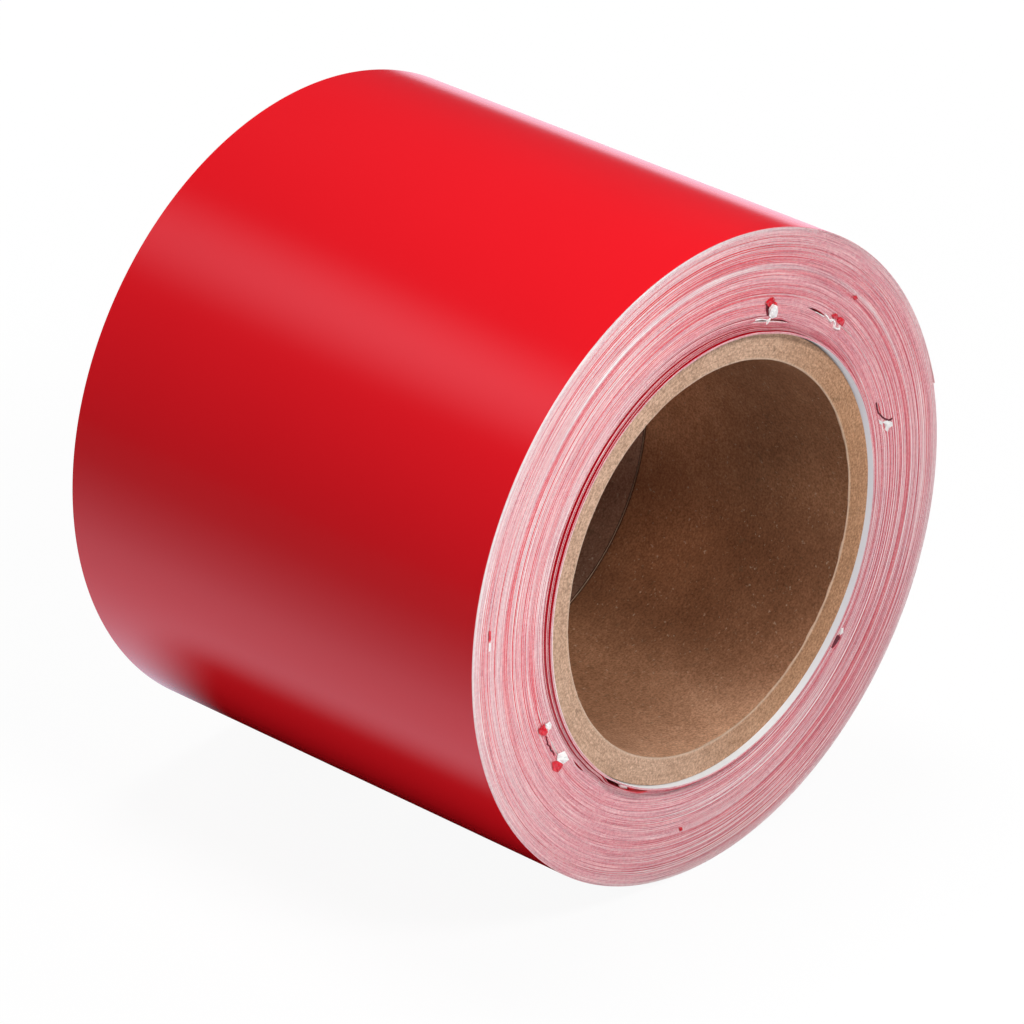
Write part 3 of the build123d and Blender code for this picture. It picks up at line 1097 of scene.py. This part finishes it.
def floor_material(name, lift):
    """Pale matte sweep: the camera sees it lifted towards white; to the roll it glows, a painted pool
    of light and shadow.
    """
    mat = bpy.data.materials.new(name)
    nodes = empty_nodes(mat)
    output = nodes.add("OutputMaterial")
    matte = nodes.add("BsdfDiffuse", {0: (0.86, 0.86, 0.87)}).outputs[0]
    glow = nodes.add("Emission", {0: WHITE, 1: 1.0}).outputs[0]
    ray = nodes.add("LightPath").outputs
    seen = nodes.mix_shader(lift, matte, glow)
    glossy = ray["Is Glossy Ray"]
    level = light_pool(nodes, glossy)
    tone = nodes.mix(glossy, (1.0, 0.98, 0.98), (1.0, 0.92, 1.12))
    pool = nodes.add("Emission", {0: tone, 1: level}).outputs[0]
    nodes.fill(output, {0: nodes.mix_shader(ray["Is Camera Ray"], pool, seen)})
    mat.cycles.emission_sampling = "NONE"
    return mat


def floor_plane(name, half, z, material):
    mesh = bpy.data.meshes.new(name)
    corners = [(-half, -half, z), (half, -half, z), (half, half, z), (-half, half, z)]
    mesh.from_pydata(corners, [], [(0, 1, 2, 3)])
    ob = bpy.data.objects.new(name, mesh)
    bpy.context.scene.collection.objects.link(ob)
    mesh.materials.append(material)
    return ob


floor_plane("floor_table", 1.6, FLOOR_Z, floor_material("floor_white", lift=0.94))
far = floor_plane("floor_far", 30, FLOOR_Z - 0.0004, floor_material("floor_far_white", lift=1.0))
far.visible_diffuse = far.visible_glossy = far.visible_transmission = far.visible_shadow = False


# ------------------------------------------------------------------ world and lights
def studio_world():
    """White to the camera, almost dark to the roll, faintly violet in its gloss."""
    world = bpy.data.worlds.new("studio")
    bpy.context.scene.world = world
    nodes = empty_nodes(world)
    output = nodes.add("OutputWorld")
    ray = nodes.add("LightPath").outputs
    seen = nodes.add("Background", {0: WHITE}).outputs[0]
    fill = nodes.add("Background", {0: (1.0, 0.985, 0.97), 1: 0.02}).outputs[0]
    gloss = nodes.add("Background", {0: (0.95, 0.88, 1.15), 1: 0.06}).outputs[0]
    lighting = nodes.mix_shader(ray["Is Glossy Ray"], fill, gloss)
    nodes.fill(output, {0: nodes.mix_shader(ray["Is Camera Ray"], lighting, seen)})


def area(name, location, size, power, target=(0, 0, 0), color=WHITE, sheen=False):
    """A rectangular light aimed at target; a sheen light shows only in gloss, others never do."""
    light = bpy.data.lights.new(name, "AREA")
    light.shape = "RECTANGLE"
    light.size, light.size_y = size
    light.energy = power
    light.color = color
    ob = bpy.data.objects.new(name, light)
    ob.location = location
    aim = Vector(target) - Vector(location)
    ob.rotation_euler = aim.to_track_quat("-Z", "Y").to_euler()
    bpy.context.scene.collection.objects.link(ob)
    ob.visible_camera = False
    ob.visible_glossy = sheen
    ob.visible_diffuse = not sheen
    return light


def soften(light):
    """Fades the light from its middle to its edges."""
    light.use_nodes = True
    nodes = Nodes(light.node_tree)
    emission = next(node for node in light.node_tree.nodes if node.type == "EMISSION")
    place = nodes.add("NewGeometry").outputs["Parametric"]
    distance = nodes.add("VectorMath", {0: place, 1: (0.5, 0.5, 0.0)}, operation="DISTANCE")
    fading = nodes.remap(distance.outputs["Value"], span=(0.0, 0.5), to=(1.0, 0.0))
    nodes.fill(emission, {1: fading})


studio_world()
# (name, location, (width, height), watts)
for name, location, size, power in (
    ("top", (0.08, 0.25, 1.34), (0.45, 0.45), 8.9),
    ("top_front", (-0.05, -0.38, 0.42), (0.14, 0.14), 2.28),
    ("front_left", (-0.35, -0.50, -0.03), (0.30, 0.05), 0.16),
    ("front_low", (-0.06, -0.26, -0.035), (0.12, 0.04), 0.13),
    ("left", (-0.60, -0.10, -0.02), (0.30, 0.06), 0.23),
    ("back", (0.10, 0.60, 0.24), (0.40, 0.40), 1.70),
    ("right", (0.56, 0.16, 0.10), (0.40, 0.40), 1.10),
):
    area(name, location, size, power)
soften(area("sheen_back_left", (-0.344, 0.487, 0.605), size=(0.62, 0.42), power=0.95,
            target=(-0.042, 0.0, 0.047), color=(1.0, 0.90, 1.10), sheen=True))


# ------------------------------------------------------------------ camera
def add_camera():
    """Looks down on the front edge from -X, -Y."""
    data = bpy.data.cameras.new("camera")
    data.sensor_width = 36.0
    data.lens = 259.59
    data.clip_start, data.clip_end = 0.05, 60.0
    camera = bpy.data.objects.new("camera", data)
    bpy.context.scene.collection.objects.link(camera)
    right = Vector((0.685624296737587, -0.7279555781248533, 0.0))
    up = Vector((0.3340717012754645, 0.31464512688662305, 0.8884787800130163))
    turn = Matrix((right, up, right.cross(up))).transposed().to_4x4()
    camera.matrix_world = Matrix.Translation((-0.8885089, -0.8379177, 0.6226064)) @ turn
    bpy.context.scene.camera = camera


add_camera()
bpy.context.scene.view_settings.view_transform = "Standard"
bpy.context.scene.view_settings.look = "None"
